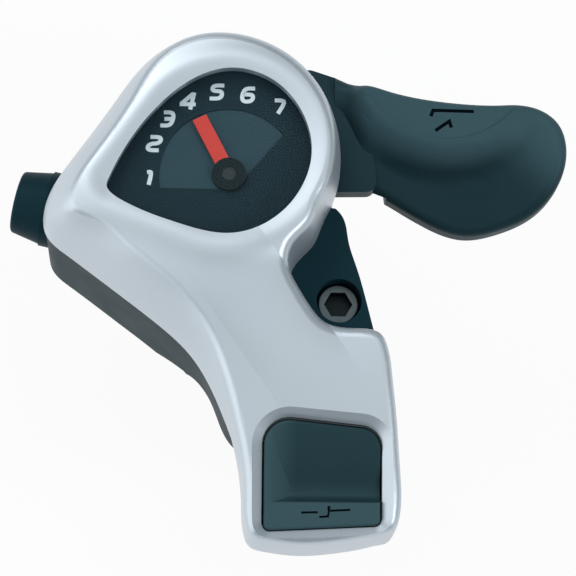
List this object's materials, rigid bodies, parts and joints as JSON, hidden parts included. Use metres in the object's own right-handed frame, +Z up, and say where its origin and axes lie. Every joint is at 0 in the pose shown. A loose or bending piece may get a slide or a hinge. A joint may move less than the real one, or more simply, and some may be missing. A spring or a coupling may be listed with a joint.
{
  "type": "bicycle gear shifter",
  "caption": "Bar-top gear shifter: thumb lever winds a cable drum, a sprung button lets it go, a needle under a lens shows the gear, and a split band clamps the handlebar.",
  "frame": {"origin": "on the handlebar axis at the middle of the clamp band", "axes": "+X along the handlebar to the right, +Y forward away from the rider, +Z up, the way the dial faces"},
  "size_m": [0.1146, 0.1045, 0.0529],
  "materials": {
    "cover_silver": "satin",
    "base_black": "matte",
    "lever_black": "fine grain",
    "button_grey": "satin",
    "lens_clear": "polished",
    "dial_black": "matte",
    "needle_red": "satin",
    "inner_plastic": "satin",
    "steel": "satin",
    "spring_steel": "satin",
    "bolt_steel": "satin",
    "band_black": "satin"
  },
  "bodies": {
    "housing": {"top_cover": "cover_silver", "base_housing": "base_black", "clamp_band": "band_black", "clamp_bolt": "bolt_steel", "clamp_nut": "bolt_steel", "dial_lens": "lens_clear", "dial_plate": "dial_black", "main_axle": "steel", "axle_nut": "steel", "axle_circlip": "spring_steel", "thrust_washer": "steel", "top_washer": "steel", "hold_pawl_pin": "steel", "hold_pawl_spring": "spring_steel", "release_button_pin": "steel", "release_button_spring": "spring_steel", "block_plate": "base_black", "cable_stop": "base_black", "cover_screws": "steel"},
    "gear_drum": {"cable_drum": "inner_plastic", "ratchet_wheel": "steel", "needle_spindle": "inner_plastic", "indicator_needle": "needle_red"},
    "lever": {"thumb_lever": "lever_black", "lever_plate": "steel", "lever_return_spring": "spring_steel", "drive_pawl_pin": "steel", "drive_pawl_spring": "spring_steel"},
    "drive_pawl": {"drive_pawl": "steel"},
    "hold_pawl": {"hold_pawl": "steel"},
    "button": {"release_button": "button_grey"},
    "link": {"release_link": "steel"}
  },
  "joints": [
    {"name": "lever_swing", "type": "hinge", "parent": "housing", "child": "lever", "pos_m": [-0.0202, 0.0444, 0.02], "axis": [0, 0, 1], "range_deg": [0, 48], "stiffness_Nm_per_rad": 0.12, "springref_deg": -20.05},
    {"name": "drum_turn", "type": "hinge", "parent": "housing", "child": "gear_drum", "pos_m": [-0.0202, 0.0444, 0.01], "axis": [0, 0, 1], "range_deg": [-67.5, 67.5]},
    {"name": "drive_pawl_tilt", "type": "hinge", "parent": "lever", "child": "drive_pawl", "pos_m": [-0.03194, 0.05614, 0.0113], "axis": [0, 0, 1], "range_deg": [-10, 0], "stiffness_Nm_per_rad": 0.004, "springref_deg": 17.19},
    {"name": "button_press", "type": "hinge", "parent": "housing", "child": "button", "pos_m": [0, -0.0095, 0.028], "axis": [1, 0, 0], "range_deg": [0, 12], "stiffness_Nm_per_rad": 0.08, "springref_deg": -14.32},
    {"name": "hold_pawl_tilt", "type": "hinge", "parent": "housing", "child": "hold_pawl", "pos_m": [-0.018, 0.025, 0.0113], "axis": [0, 0, 1], "range_deg": [0, 9.91]},
    {"name": "link_peg", "type": "hinge", "parent": "hold_pawl", "child": "link", "pos_m": [-0.012, 0.025, 0.023], "axis": [0, 0, 1], "range_deg": [-9.91, 0]}
  ],
  "couplings": [
    {"joint": "hold_pawl_tilt", "follows": "button_press", "ratio": 0.825},
    {"joint": "link_peg", "follows": "button_press", "ratio": -0.825}
  ]
}
